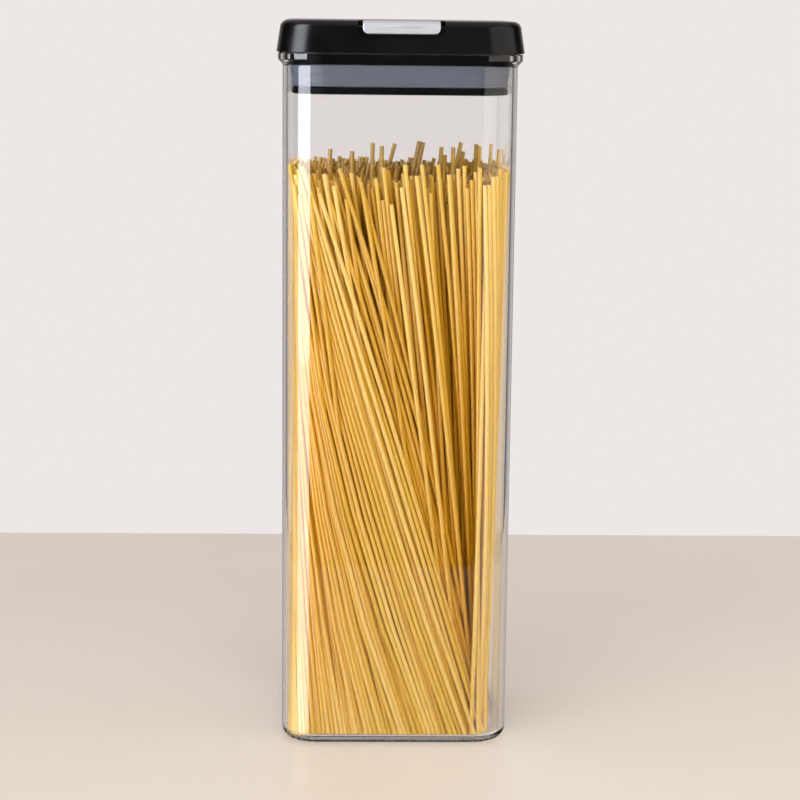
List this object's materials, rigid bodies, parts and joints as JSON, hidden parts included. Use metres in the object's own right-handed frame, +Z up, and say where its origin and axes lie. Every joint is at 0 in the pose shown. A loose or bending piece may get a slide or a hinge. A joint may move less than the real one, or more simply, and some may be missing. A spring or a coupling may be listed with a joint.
{
  "type": "jar of dry spaghetti",
  "caption": "Dry spaghetti standing in a tall clear square storage jar, closed by a black push-in lid with a grey seal.",
  "frame": {"origin": "middle of the underside of the jar, on the surface it stands on", "axes": "+Z up along the jar, -Y the front with the lid's silver tab, +X to the right seen from the front"},
  "size_m": [0.109, 0.109, 0.324],
  "materials": {
    "clear_plastic": "clear, polished moulding",
    "black_plastic": "satin moulded",
    "grey_silicone": "smooth matt",
    "silver_trim": "fine brushed, satin",
    "dried_pasta": "smooth, slightly translucent"
  },
  "bodies": {
    "root": {"jar": "clear_plastic", "lid_cap": "black_plastic", "lid_base": "black_plastic", "lid_seal": "grey_silicone", "lid_tab": "silver_trim", "spaghetti": "dried_pasta"}
  },
  "joints": []
}
